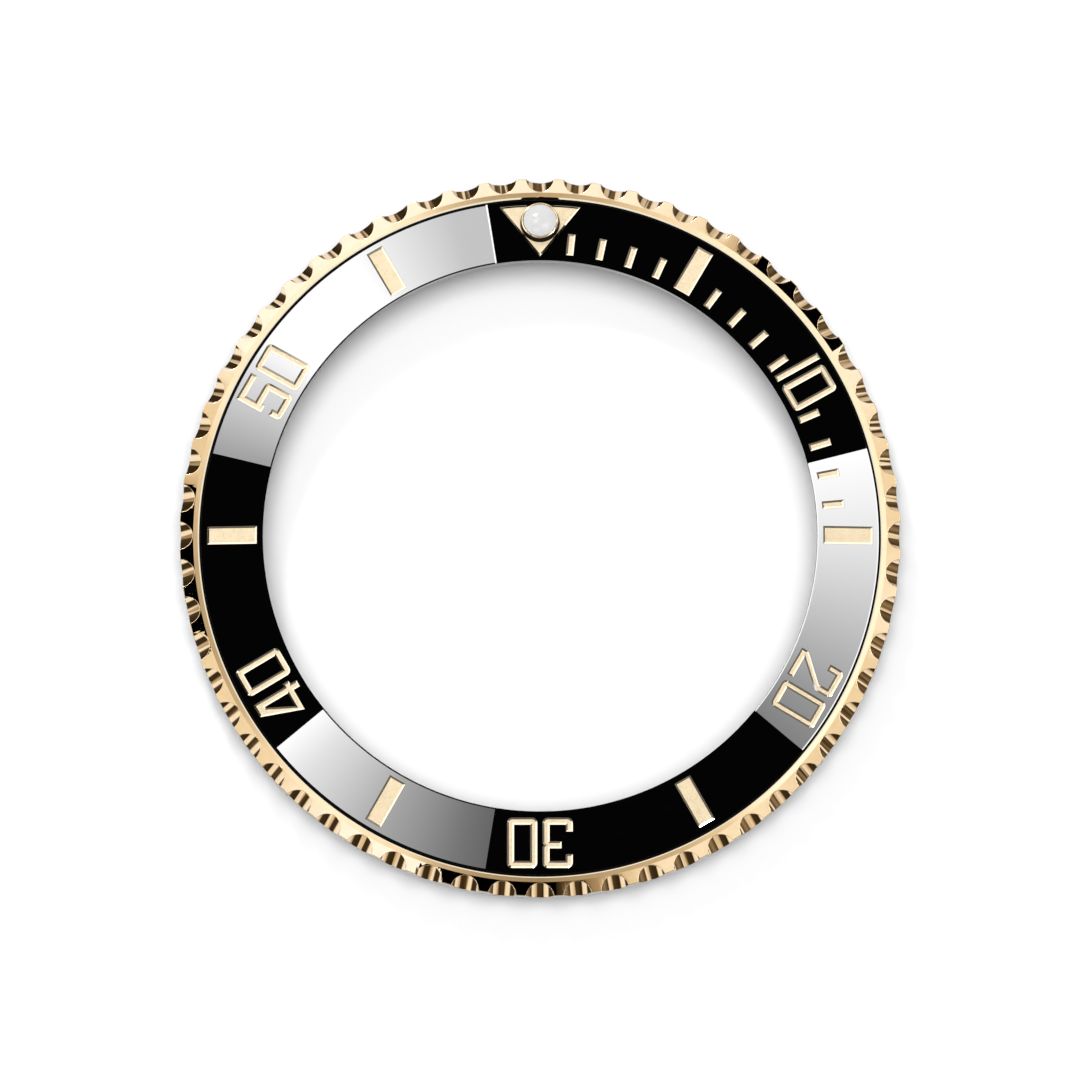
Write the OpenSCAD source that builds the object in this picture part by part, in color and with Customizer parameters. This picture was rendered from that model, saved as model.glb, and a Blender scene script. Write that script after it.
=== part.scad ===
// Rotating bezel of a diving watch: a fluted ring with a ceramic insert, the seat ring
// that it turns on, and the click work between the two. Sizes are in millimetres.
// The turning axis is Z, the underside of the seat ring is z = 0, and +Y is 12 o'clock.

/* [Bezel ring] */
// Diameter over the lands between the flutes
bezel_d = 40; // [36:0.1:44]
// Width of the flat top rim
rim_w = 0.75; // [0.5:0.05:1]
// Height of the top rim above the outer edge of the insert
rim_rise = 0.1; // [0.05:0.01:0.3]
// Width of the turned bevel between the rim and the insert
bevel_w = 0.36; // [0.2:0.01:0.5]
// Depth of the turned bevel between the rim and the insert
bevel_drop = 0.2; // [0.1:0.05:0.4]
// Chamfer on the outer edge of the rim
rim_chamfer = 0.06; // [0.02:0.01:0.15]
// Height of the upright land below the rim
land_h = 1.45; // [1:0.05:2]
// Inward run of the bevel under the land
under_w = 0.7; // [0.3:0.05:0.9]
// Height of the bevel under the land
under_h = 1.2; // [0.6:0.05:1.3]
// Height of the upright band at the foot of the skirt
skirt_h = 0.22; // [0.1:0.01:0.4]
// Wall of the skirt at its foot
skirt_wall = 0.75; // [0.5:0.01:1]

/* [Flutes] */
// Number of flutes
flute_n = 60; // [30:6:66]
// Radius of the flute cutter
flute_r = 0.78; // [0.5:0.02:0.85]
// Depth of a flute at the top rim
flute_depth = 0.77; // [0.4:0.01:0.8]
// Lean of a flute away from the axis, in degrees
flute_lean = 22; // [10:1:30]

/* [Insert] */
// Width of the insert, from its outer edge in to its opening
insert_w = 3.51; // [3.2:0.01:3.8]
// Thickness of the insert
insert_h = 0.95; // [0.8:0.05:1.3]
// Slope of the insert down to its outer edge, in degrees
insert_slope = 9; // [5:0.5:12]
// Polished chamfer on the insert's outer edge
insert_edge = 0.09; // [0.04:0.01:0.15]
// Polished chamfer on the insert's inner edge
insert_lip = 0.1; // [0.04:0.01:0.15]
// Radial gap between the insert and the ring
insert_gap = 0.03; // [0.01:0.01:0.06]
// Thickness of the cushion ring under the insert
cushion_h = 0.12; // [0.08:0.01:0.25]
// Width of bare shelf on each side of the cushion ring
cushion_inset = 0.3; // [0.1:0.05:0.5]

/* [Marks] */
// Depth of the engraved marks
engrave_depth = 0.17; // [0.1:0.01:0.25]
// Thickness of the gold filling
gold_h = 0.06; // [0.03:0.01:0.09]
// Gap between the insert's opening and the numerals and bars
mark_in = 0.34; // [0.2:0.01:0.6]
// Gap between the numerals and bars and the insert's outer edge
mark_out = 0.4; // [0.2:0.01:0.6]
// Width of a numeral
digit_w = 1.68; // [1.4:0.02:1.8]
// Width of the stroke of a numeral
stroke = 0.4; // [0.3:0.01:0.46]
// Gap between the two numerals of a pair
digit_gap = 0.28; // [0.15:0.01:0.4]
// Outer corner radius of the numerals
digit_round = 0.3; // [0.1:0.02:0.38]
// Width of the five-minute bars
bar_w = 1; // [0.6:0.05:1.2]
// Gap between the insert's opening and the minute ticks
tick_in = 0.37; // [0.2:0.01:0.6]
// Length of the minute ticks
tick_len = 1.24; // [0.8:0.02:2]
// Width of the minute ticks
tick_w = 0.43; // [0.25:0.01:0.6]
// Gap between the insert's opening and the point of the triangle
tri_in = 0.22; // [0.15:0.01:0.5]
// Gap between the triangle's outer side and the insert's outer edge
tri_out = 0.3; // [0.2:0.01:0.6]
// Half of the triangle's width at its outer corners
tri_half_w = 2.28; // [1.9:0.02:2.5]

/* [Pearl] */
// Distance of the pearl's centre inwards from the triangle's outer side
pearl_inset = 1.06; // [0.9:0.02:1.4]
// Gold left between the pearl's well and each side of the triangle
tri_strip = 0.076; // [0.04:0.002:0.2]
// Taper of the capsule's wall in from the insert to the capsule's rim
capsule_taper = 0.07; // [0:0.01:0.15]
// Height of the capsule's rim above the insert
capsule_rise = 0.5; // [0.3:0.05:0.7]
// Depth of the capsule's well in the insert
capsule_sink = 0.5; // [0.3:0.02:0.6]
// Wall of the capsule
capsule_wall = 0.1; // [0.06:0.01:0.15]
// Thickness of the capsule's floor
capsule_floor = 0.15; // [0.1:0.01:0.25]
// Gap round the capsule in its well
capsule_gap = 0.03; // [0.01:0.01:0.05]
// Height of the dome over the capsule's rim
dome_rise = 0.24; // [0.1:0.02:0.4]
// Depth to which the dome is set in the capsule
dome_sink = 0.25; // [0.15:0.01:0.3]

/* [Seat ring] */
// Reach of the insert in over the bore that is pressed on the collar of the watch case
bore_cover = 0.25; // [0.1:0.01:0.5]
// Wall of the seat ring's collar
collar_wall = 0.8; // [0.7:0.02:0.9]
// Gap between the collar's top and the insert
collar_gap = 0.12; // [0.08:0.01:0.3]
// Thickness of the flange
flange_h = 1.35; // [1.2:0.05:1.6]
// Lead-in chamfer at the mouth of the bore
lead_in = 0.1; // [0.05:0.01:0.2]
// Radial running clearance of the bezel ring on the seat ring
run_clear = 0.05; // [0.02:0.01:0.08]

/* [Retaining wire and friction ring] */
// Diameter of the retaining wire
wire_d = 0.36; // [0.26:0.02:0.4]
// Gap round the wire in its two grooves
wire_clear = 0.02; // [0.01:0.01:0.04]
// Angle left open between the wire's ends, in degrees
wire_split = 14; // [6:1:30]
// Gap between the friction ring and what it lies on
friction_clear = 0.025; // [0.01:0.005:0.05]

/* [Click work] */
// Number of teeth on the ratchet ring, one for each click
tooth_n = 120; // [60:60:120]
// Height of the teeth
tooth_h = 0.25; // [0.2:0.01:0.35]
// Width of a tooth's tip at the middle of the ratchet ring
tooth_land = 0.136; // [0.1:0.002:0.24]
// Thickness of the ratchet ring above its teeth
ratchet_h = 0.3; // [0.2:0.02:0.5]
// Gap between the ratchet ring and the friction ring
ratchet_gap = 0.195; // [0.1:0.005:0.3]
// Thickness of the bezel ring's shelf at the insert's outer edge
shelf_h = 0.25; // [0.2:0.01:0.6]
// Gap between the tips of the teeth and the flange
tooth_clear = 0.1; // [0.05:0.01:0.2]
// Length of the pawl's body past each side of a gap between teeth
pawl_shoulder = 0.35; // [0.2:0.01:0.6]
// Width of the pawl along the radius
pawl_w = 0.7; // [0.5:0.02:0.74]
// Height of the pawl's body
pawl_h = 0.45; // [0.35:0.01:0.5]
// Gap between the pawl's tip and the teeth
pawl_mesh = 0.04; // [0.03:0.01:0.06]
// Radius of a detent ball
ball_r = 0.35; // [0.3:0.01:0.37]
// Gap between a ball and the teeth
ball_mesh = 0.02; // [0.01:0.005:0.05]
// Gap between the pawl or a ball and its pocket
pocket_clear = 0.03; // [0.02:0.01:0.05]
// Thickness of the flange left under the pockets
pocket_floor = 0.15; // [0.1:0.01:0.2]

/* [Springs] */
// Outer diameter of the coil springs
spring_d = 0.56; // [0.5:0.01:0.58]
// Diameter of the spring wire
spring_wire = 0.09; // [0.07:0.01:0.1]
// Number of turns of a spring
spring_turns = 3; // [2:0.5:4]
// Gap at each end of a spring
spring_clear = 0.01; // [0.005:0.005:0.03]

/* [Hidden] */
ticks = [1, 2, 3, 4, 6, 7, 8, 9, 11, 12, 13, 14];
bars = [5, 15, 25, 35, 45, 55];
tens = [1, 2, 3, 4, 5];
ball_places = [90, 180, 270];
minute = 6;
$fn = 96;

// The radii are stacked from the outer diameter inwards, by the widths of the pieces.
bezel_r = bezel_d / 2;
recess_r = bezel_r - rim_w - bevel_w;
insert_r = recess_r - insert_gap;
opening_r = insert_r - insert_w;
bore_r = opening_r + bore_cover;
collar_r = bore_r + collar_wall;
shelf_r = collar_r + run_clear;
skirt_r = bezel_r - under_w - skirt_wall;
flange_r = skirt_r - run_clear;

// The heights are stacked from the underside of the seat ring upwards.
tip_z = flange_h + tooth_clear;
root_z = tip_z + tooth_h;
shelf_z = root_z + ratchet_h;
edge_z = shelf_z + shelf_h + cushion_h + insert_h;
rim_z = edge_z + rim_rise;
under_z = rim_z - land_h - under_h;
skirt_z = under_z - skirt_h;
fall = tan(insert_slope);

wire_r = collar_r + run_clear / 2;
wire_z = (shelf_z + shelf_top(shelf_r)) / 2;
groove_r = wire_d / 2 + wire_clear;
friction_d = shelf_z - flange_h - 2 * friction_clear;
friction_r = collar_r + friction_clear + friction_d / 2;

ratchet_r = skirt_r - pocket_clear;
ratchet_w = ratchet_r - friction_r - friction_d / 2 - ratchet_gap;
mesh_r = ratchet_r - ratchet_w / 2;
tooth_notch = 2 * PI * mesh_r / tooth_n - tooth_land;
half_notch = tooth_notch / 2;

// The pawl and the balls sit in the gaps between teeth, at whole steps of the ratchet.
pawl_l = tooth_notch + 2 * pawl_shoulder;
pawl_top = flange_h - pocket_clear;
pawl_foot = pawl_top - pawl_h;

// A ball stands off the middle of its gap, towards the deep side, and as high as the
// upright wall of the one tooth and the ramp of the other let it.
ball_shift = half_notch / 4;
ball_reach = ball_r + ball_mesh;
wall_drop = sqrt(max(0, pow(ball_reach, 2) - pow(half_notch - ball_shift, 2)));
ramp_drop = (ball_reach * norm([tooth_notch, tooth_h]) - (half_notch + ball_shift) * tooth_h)
    / tooth_notch;
ball_z = tip_z - max(wall_drop, ramp_drop);

mark_foot_r = opening_r + mark_in;
mark_h = insert_w - mark_in - mark_out;
tick_foot_r = opening_r + tick_in;
tri_foot_r = opening_r + tri_in;
tri_top_r = insert_r - tri_out;
tri_half = asin(tri_half_w / tri_top_r);
tri_lean = atan(tri_half_w / (tri_top_r * cos(tri_half) - tri_foot_r));
pearl_at_r = tri_top_r - pearl_inset;
well_r = (pearl_at_r - tri_foot_r) * sin(tri_lean) - tri_strip;
capsule_r = well_r - capsule_gap;
capsule_rim_r = capsule_r - capsule_taper;
cavity_r = capsule_rim_r - capsule_wall;

// The 4 is wider than the other numerals, by its foot, and the 1 is one stroke wide.
digit_4_w = digit_w + stroke * 0.4;
first_w = [0, stroke, digit_w, digit_w, digit_4_w, digit_w];

// How far a cutter stands clear of what it cuts.
above = insert_h;

// Heights of the insert's top, its underside and the shelf at radius r.
function insert_top(r) = edge_z + (insert_r - r) * fall;
function insert_foot(r) = insert_top(r) - insert_h;
function shelf_top(r) = insert_foot(r) - cushion_h;

// Points of a rounded corner from angle a to angle b about the centre c.
function corner(c, r, a, b, steps = 5) =
    [for (i = [0:steps]) c + r * [cos(a + (b - a) * i / steps), sin(a + (b - a) * i / steps)]];

module turned(points) {
    rotate_extrude() polygon(points);
}

// Places a drawing or a piece at a minute of the scale, with +Y pointing outwards.
module at_minute(m) {
    rotate([0, 0, -m * minute]) children();
}

// A ring between two slopes that lie at the depths a and b under the insert's top.
module sloped_layer(r1, r2, a, b) {
    turned([
        [r1, insert_top(r1) - b], [r1, insert_top(r1) - a],
        [r2, insert_top(r2) - a], [r2, insert_top(r2) - b]
    ]);
}

// The numerals are drawn with their lower left corner at the origin.
module digit_0() {
    w = digit_w;
    h = mark_h;
    q = digit_round;
    difference() {
        polygon(concat(
            corner([q, q], q, 270, 180), corner([q, h - q], q, 180, 90),
            corner([w - q, h - q], q, 90, 0), corner([w - q, q], q, 0, -90)
        ));
        translate([stroke, stroke]) square([w - 2 * stroke, h - 2 * stroke]);
    }
}

module digit_1() {
    square([stroke, mark_h]);
}

module digit_2() {
    w = digit_w;
    h = mark_h;
    s = stroke;
    q = digit_round;
    hook = h * 0.34;
    bend = h * 0.66;
    heel = s * 1.15;
    crook = s * 1.1;
    knee = bend - s * 0.125;
    polygon(concat(
        [[0, 0], [0, heel], [w - s, bend], [w - s, h - s], [s, h - s], [s, h - hook], [0, h - hook]],
        corner([q, h - q], q, 180, 90), corner([w - q, h - q], q, 90, 0),
        [[w, knee], [crook, s], [w, s], [w, 0]]
    ));
}

module digit_3() {
    w = digit_w;
    h = mark_h;
    s = stroke;
    q = digit_round;
    hook = h * 0.28;
    middle = h * 0.54;
    tongue = w * 0.37;
    nick = s * 0.25;
    polygon(concat(
        [[0, hook], [s, hook], [s, s], [w - s, s], [w - s, middle - s / 2]],
        [[tongue, middle - s / 2], [tongue, middle + s / 2], [w - s, middle + s / 2]],
        [[w - s, h - s], [s, h - s], [s, h - hook], [0, h - hook]],
        corner([q, h - q], q, 180, 90), corner([w - q, h - q], q, 90, 0),
        [[w, middle + nick], [w - nick, middle], [w, middle - nick]],
        corner([w - q, q], q, 0, -90), corner([q, q], q, 270, 180)
    ));
}

module digit_4() {
    w = digit_4_w;
    h = mark_h;
    s = stroke;
    bar = h * 0.145;
    peak = w * 0.48;
    stem = w - s * 1.5;
    eye_left = s * 1.12;
    eye_tip = stem - s * 0.15;
    eye_top = h * 0.81;
    difference() {
        polygon([
            [0, bar], [peak, h], [stem + s, h], [stem + s, bar + s], [w, bar + s], [w, bar],
            [stem + s, bar], [stem + s, 0], [stem, 0], [stem, bar]
        ]);
        polygon([[eye_left, bar + s], [eye_tip, eye_top], [stem, eye_top], [stem, bar + s]]);
    }
}

module digit_5() {
    w = digit_w;
    h = mark_h;
    s = stroke;
    q = digit_round;
    hook = h * 0.26;
    bowl = h * 0.63;
    inset = s * 0.2;
    beak = bowl - s * 1.3;
    chin = bowl - s * 1.5;
    polygon(concat(
        [[0, h], [w, h], [w, h - s], [s, h - s], [s, bowl]],
        corner([w - q, bowl - q], q, 90, 0), corner([w - q, q], q, 0, -90),
        corner([inset + q, q], q, 270, 180),
        [[inset, hook], [inset + s, hook], [inset + s, s], [w - s, s], [w - s, bowl - s]],
        [[s, bowl - s], [s + inset, beak], [s, chin], [0, chin]]
    ));
}

// The pair of numerals for a ten, centred on its minute.
module pair(t) {
    left = -(first_w[t] + digit_gap + digit_w) / 2;
    translate([left, mark_foot_r]) {
        if (t == 1) digit_1();
        if (t == 2) digit_2();
        if (t == 3) digit_3();
        if (t == 4) digit_4();
        if (t == 5) digit_5();
        translate([first_w[t] + digit_gap, 0]) digit_0();
    }
}

// A bar or a tick, whose two ends follow the circle closely enough to be straight.
module radial_mark(foot_r, len, w) {
    translate([-w / 2, foot_r]) square([w, len]);
}

// The triangle, whose outer side is an arc about the middle of the watch.
module triangle_mark() {
    side = corner([0, 0], tri_top_r, 90 - tri_half, 90 + tri_half, 10);
    polygon(concat([[0, tri_foot_r]], side));
}

// An outline stood up as a prism that reaches from under the marks to above the insert.
module prism() {
    translate([0, 0, edge_z - insert_h]) linear_extrude(insert_h + insert_r * fall) children();
}

// The gold that lies on the floor of one engraved mark.
module filling(m) {
    intersection() {
        at_minute(m) prism() children();
        sloped_layer(opening_r, insert_r, engrave_depth - gold_h, engrave_depth);
    }
}

// Puts a piece on the insert at the pearl's place, square to the slope.
module at_pearl() {
    translate([0, pearl_at_r, insert_top(pearl_at_r)]) rotate([-insert_slope, 0, 0]) children();
}

module pearl_well() {
    at_pearl() translate([0, 0, -capsule_sink]) cylinder(r = well_r, h = capsule_sink + above);
}

// A tube along a helix, as rings of points that are joined up.
module coil(height, outer_d, wire, turns) {
    rings = 14;
    sides = 6;
    count = round(turns * rings);
    mid_r = (outer_d - wire) / 2;
    rise = height - wire;
    lean = atan(rise / turns / (2 * PI * mid_r));
    points = [
        for (i = [0:count], k = [0:sides - 1])
            let (
                a = 360 * i / rings,
                b = 360 * k / sides,
                out = wire / 2 * cos(b),
                up = wire / 2 * sin(b)
            )
            [
                (mid_r + out) * cos(a) + up * sin(lean) * sin(a),
                (mid_r + out) * sin(a) - up * sin(lean) * cos(a),
                wire / 2 + rise * i / count + up * cos(lean)
            ]
    ];
    sleeve = [
        for (i = [0:count - 1], k = [0:sides - 1])
            let (
                a = i * sides + k,
                b = i * sides + (k + 1) % sides
            )
            each [[a, a + sides, b], [b, a + sides, b + sides]]
    ];
    start = [for (k = [1:sides - 2]) [0, k, k + 1]];
    last = count * sides;
    end = [for (k = [1:sides - 2]) [last, last + k + 1, last + k]];
    polyhedron(points, concat(start, sleeve, end));
}

module seat_ring() {
    color("lightsteelblue") difference() {
        turned([
            [bore_r + lead_in, 0], [bore_r, lead_in],
            [bore_r, insert_foot(collar_r) - collar_gap],
            [collar_r - lead_in, insert_foot(collar_r) - collar_gap],
            [collar_r, insert_foot(collar_r) - collar_gap - lead_in],
            [collar_r, flange_h], [flange_r, flange_h], [flange_r, lead_in], [flange_r - lead_in, 0]
        ]);
        rotate_extrude() translate([wire_r, wire_z]) circle(groove_r);
        pawl_pocket();
        for (a = ball_places) ball_pocket(a);
    }
}

module pawl_pocket() {
    wide = pawl_w + 2 * pocket_clear;
    long = pawl_l + 2 * pocket_clear;
    translate([mesh_r - wide / 2, -long / 2, pocket_floor]) cube([wide, long, flange_h]);
}

// Turns and moves a piece to a ball's place, at the deep side of a gap between teeth.
module at_ball(a) {
    rotate([0, 0, a]) translate([mesh_r, ball_shift, 0]) children();
}

module ball_pocket(a) {
    at_ball(a) translate([0, 0, pocket_floor]) cylinder(r = ball_r + pocket_clear, h = flange_h);
}

module friction_ring() {
    color("dimgray") rotate_extrude()
        translate([friction_r, flange_h + friction_clear + friction_d / 2]) circle(d = friction_d);
}

module retaining_wire() {
    color("silver") rotate([0, 0, wire_split / 2]) rotate_extrude(angle = 360 - wire_split)
        translate([wire_r, wire_z]) circle(d = wire_d);
}

// The cutter of one flute leans out as it goes down, so that the flute dies out below.
module flute_cutter() {
    axis_r = bezel_r - flute_depth + flute_r / cos(flute_lean);
    long = land_h + under_h;
    translate([axis_r, 0, rim_z]) rotate([0, -flute_lean, 0])
        translate([0, 0, -long]) cylinder(r = flute_r, h = long + flute_r);
}

module bezel_ring() {
    color("gold") difference() {
        turned([
            [recess_r, rim_z - bevel_drop], [bezel_r - rim_w, rim_z], [bezel_r - rim_chamfer, rim_z],
            [bezel_r, rim_z - rim_chamfer], [bezel_r, under_z + under_h],
            [bezel_r - under_w, under_z], [bezel_r - under_w, skirt_z],
            [skirt_r, skirt_z], [skirt_r, shelf_z], [shelf_r, shelf_z],
            [shelf_r, shelf_top(shelf_r)], [recess_r, shelf_top(recess_r)]
        ]);
        rotate_extrude() translate([wire_r, wire_z]) circle(groove_r);
        for (i = [0:flute_n - 1]) rotate([0, 0, i * 360 / flute_n]) flute_cutter();
    }
}

// The gap between two teeth: a ramp on one side and an upright wall on the other, so
// that the bezel turns anticlockwise only.
module tooth_gap() {
    translate([mesh_r + ratchet_w, 0, 0]) rotate([90, 0, -90])
        linear_extrude(2 * ratchet_w) polygon([
            [half_notch, tip_z - above], [half_notch, tip_z], [-half_notch, root_z],
            [-half_notch, tip_z - above]
        ]);
}

module ratchet_ring() {
    color("slategray") difference() {
        turned([
            [ratchet_r - ratchet_w, tip_z], [ratchet_r - ratchet_w, shelf_z],
            [ratchet_r, shelf_z], [ratchet_r, tip_z]
        ]);
        for (i = [0:tooth_n - 1]) rotate([0, 0, i * 360 / tooth_n]) tooth_gap();
    }
}

module insert_cushion() {
    color("darkslategray") sloped_layer(
        shelf_r + cushion_inset, recess_r - cushion_inset, insert_h, insert_h + cushion_h);
}

module insert() {
    color("black") difference() {
        turned([
            [opening_r, insert_foot(opening_r)], [opening_r, insert_top(opening_r) - insert_lip],
            [opening_r + insert_lip, insert_top(opening_r + insert_lip)],
            [insert_r - insert_edge, insert_top(insert_r - insert_edge)],
            [insert_r, edge_z - insert_edge], [insert_r, insert_foot(insert_r)]
        ]);
        intersection() {
            union() {
                prism() triangle_mark();
                for (t = tens) at_minute(10 * t) prism() pair(t);
                for (m = bars) at_minute(m) prism() radial_mark(mark_foot_r, mark_h, bar_w);
                for (m = ticks) at_minute(m) prism() radial_mark(tick_foot_r, tick_len, tick_w);
            }
            sloped_layer(opening_r - above, insert_r + above, -above, engrave_depth);
        }
        pearl_well();
    }
}

module triangle_inlay() {
    color("wheat") difference() {
        filling(0) triangle_mark();
        pearl_well();
    }
}

module numeral_inlay(t) {
    color("wheat") filling(10 * t) pair(t);
}

module bar_inlay(m) {
    color("wheat") filling(m) radial_mark(mark_foot_r, mark_h, bar_w);
}

module tick_inlay(m) {
    color("wheat") filling(m) radial_mark(tick_foot_r, tick_len, tick_w);
}

module pearl_capsule() {
    roll = capsule_wall / 2;
    color("gold") at_pearl() rotate_extrude() {
        polygon([
            [0, -capsule_sink], [capsule_r, -capsule_sink], [capsule_r, 0],
            [capsule_rim_r, capsule_rise - roll], [cavity_r, capsule_rise - roll],
            [cavity_r, capsule_floor - capsule_sink], [0, capsule_floor - capsule_sink]
        ]);
        translate([cavity_r + roll, capsule_rise - roll]) circle(roll);
    }
}

module pearl_pellet() {
    color("ivory") at_pearl() translate([0, 0, capsule_floor - capsule_sink])
        cylinder(r = cavity_r, h = capsule_rise - dome_sink + capsule_sink - capsule_floor);
}

// The dome is a slice of a ball on a short round foot.
module pearl_dome() {
    ball = (cavity_r * cavity_r + dome_rise * dome_rise) / (2 * dome_rise);
    color("white") at_pearl() intersection() {
        translate([0, 0, capsule_rise - dome_sink]) cylinder(r = cavity_r, h = dome_sink + dome_rise);
        translate([0, 0, capsule_rise + dome_rise - ball]) sphere(ball);
    }
}

// The pawl: a block that slides in its pocket, with a tip shaped like the gap it meets.
module click_pawl() {
    tip_w = pawl_w - 2 * pocket_clear;
    reach = half_notch - pawl_mesh;
    color("silver") {
        translate([mesh_r - pawl_w / 2, -pawl_l / 2, pawl_foot]) cube([pawl_w, pawl_l, pawl_h]);
        translate([mesh_r + tip_w / 2, 0, 0]) rotate([90, 0, -90]) linear_extrude(tip_w) polygon([
            [reach, pawl_top], [reach, tip_z - pawl_mesh],
            [-reach, root_z - pawl_mesh], [-reach, pawl_top]
        ]);
    }
}

module pawl_spring() {
    low = pocket_floor + spring_clear;
    color("gainsboro") translate([mesh_r, 0, low])
        coil(pawl_foot - spring_clear - low, spring_d, spring_wire, spring_turns);
}

module detent_ball(a) {
    color("silver") at_ball(a) translate([0, 0, ball_z]) sphere(ball_r);
}

// The spring's top ring meets the ball above the ball's lowest point.
module ball_spring(a) {
    low = pocket_floor + spring_clear;
    seat = ball_z - sqrt(pow(ball_r + spring_clear + spring_wire / 2, 2)
        - pow((spring_d - spring_wire) / 2, 2)) + spring_wire / 2;
    color("gainsboro") at_ball(a) translate([0, 0, low])
        coil(seat - low, spring_d, spring_wire, spring_turns);
}

seat_ring();
friction_ring();
retaining_wire();
bezel_ring();
ratchet_ring();
insert_cushion();
insert();
click_pawl();
pawl_spring();
for (i = [1:len(ball_places)]) {
    detent_ball(ball_places[i - 1]);
    ball_spring(ball_places[i - 1]);
}
triangle_inlay();
pearl_capsule();
pearl_pellet();
pearl_dome();
for (t = tens) numeral_inlay(t);
for (m = bars) bar_inlay(m);
for (m = ticks) tick_inlay(m);
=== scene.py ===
import math
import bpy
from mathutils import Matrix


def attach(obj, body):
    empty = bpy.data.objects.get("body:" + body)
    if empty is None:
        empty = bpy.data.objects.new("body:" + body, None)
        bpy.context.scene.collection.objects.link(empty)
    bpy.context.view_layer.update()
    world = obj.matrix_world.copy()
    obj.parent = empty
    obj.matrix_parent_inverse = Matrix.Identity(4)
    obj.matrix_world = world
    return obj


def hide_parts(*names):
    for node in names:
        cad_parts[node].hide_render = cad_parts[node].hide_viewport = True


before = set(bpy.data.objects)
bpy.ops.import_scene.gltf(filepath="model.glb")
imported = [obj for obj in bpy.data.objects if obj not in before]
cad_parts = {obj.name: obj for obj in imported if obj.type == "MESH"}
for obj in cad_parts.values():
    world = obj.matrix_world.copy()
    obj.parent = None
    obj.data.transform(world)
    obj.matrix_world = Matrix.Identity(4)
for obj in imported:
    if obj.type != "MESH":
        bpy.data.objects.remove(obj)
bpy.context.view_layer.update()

from types import SimpleNamespace

import bmesh
import bpy
from mathutils import Matrix, Vector

bl_info = {
    "name": "Rotating Watch Bezel",
    "version": (1, 0, 0),
    "blender": (4, 5, 0),
    "location": "View3D > Sidebar > Bezel",
    "description": "Builds the fluted ring, its insert and marks, the pearl and the seat ring",
    "category": "Object",
}

MM = 0.001

# Pieces are modelled at a thousand times life size, where a millimetre is one unit,
# because bevels and merges fail on hundredths of a millimetre.
BENCH = 1000.0
MERGE = 0.0005

# Steps in a full turn of the turned pieces and round cutters, and in one flute's share.
INSERT_STEPS = 720
SEAT_STEPS = 480
PEARL_STEPS = 128
PELLET_STEPS = 96
FLUTE_STEPS = 12
TOOL_STEPS = 96
POCKET_STEPS = 48

TICKS = (1, 2, 3, 4, 6, 7, 8, 9, 11, 12, 13, 14)
BARS = (5, 15, 25, 35, 45, 55)
TENS = (10, 20, 30, 40, 50)
MARKS = (
    ["triangle_inlay"]
    + [f"numeral_inlay_{ten}" for ten in TENS]
    + [f"bar_inlay_{minute}" for minute in BARS]
    + [f"tick_inlay_{minute}" for minute in TICKS]
)


# Properties


def length(name, description, millimetres):
    return bpy.props.FloatProperty(
        name=name, description=description, default=millimetres * MM, unit="LENGTH", precision=5
    )


def angle(name, description, degrees):
    return bpy.props.FloatProperty(
        name=name, description=description, default=math.radians(degrees), subtype="ANGLE"
    )


def colour(name, description, value):
    return bpy.props.FloatVectorProperty(
        name=name, description=description, default=value, subtype="COLOR", min=0.0, max=1.0
    )


def number(name, description, value):
    return bpy.props.FloatProperty(name=name, description=description, default=value)


class BezelRingSettings(bpy.types.PropertyGroup):
    radius: length("Radius", "Radius over the lands between the flutes", 20.0)
    rim_height: length("Rim height", "Height of the top rim over the watch case", 3.42)
    rim_width: length("Rim width", "Width of the top rim", 0.77)
    rim_fall: length("Rim fall", "Fall of the top rim towards its outer edge", 0.022)
    rim_chamfer: length("Rim chamfer", "Chamfer on the outer edge of the rim", 0.024)
    bevel_width: length("Bevel width", "Width of the bevel between the rim and the insert", 0.34)
    bevel_drop: length("Bevel drop", "Drop of the bevel towards the insert", 0.172)
    bevel_toe: length("Bevel toe", "Width of the steeper toe at the bevel's foot", 0.1)
    bevel_toe_drop: length("Bevel toe drop", "Drop over the steeper toe", 0.065)
    land_height: length("Land height", "Height of the upright lands", 1.45)
    under_width: length("Underside width", "Inward run of the bevel under the lands", 0.7)
    under_height: length("Underside height", "Height of the bevel under the lands", 1.2)
    skirt_height: length("Skirt height", "Height of the upright band at the skirt's foot", 0.22)
    skirt_wall: length("Skirt wall", "Wall of the skirt at its foot", 0.75)
    shelf_height: length("Shelf height", "Height of the underside of the shelf", 2.0)
    shelf_radius: length("Shelf radius", "Radius of the bore of the shelf", 16.45)
    shelf_inner_top: length("Shelf inner top", "Height of the shelf's top at its bore", 2.632)
    shelf_outer_top: length("Shelf outer top", "Height of the shelf's top at the recess wall", 2.245)
    edge_round: length("Edge round", "Rounding of the polished edges", 0.02)
    rim_round: length("Rim round", "Rounding of the chamfer on the rim's outer edge", 0.008)
    flute_count: bpy.props.IntProperty(name="Flutes", description="Number of flutes", default=60)
    flute_radius: length("Flute radius", "Radius of the flute cutter", 0.78)
    flute_depth: length("Flute depth", "Depth of a flute at the rim", 0.735)
    flute_lean: angle("Flute lean", "Lean of a flute away from the axis", 26.0)
    gold: colour("Gold", "Colour of the polished gold", (0.93, 0.68, 0.385))


class WireSettings(bpy.types.PropertyGroup):
    radius: length("Radius", "Radius at which the retaining wire lies", 16.425)
    height: length("Height", "Height at which the retaining wire lies", 2.316)
    groove: length("Groove", "Radius of the round grooves that hold the wire", 0.2)


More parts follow.
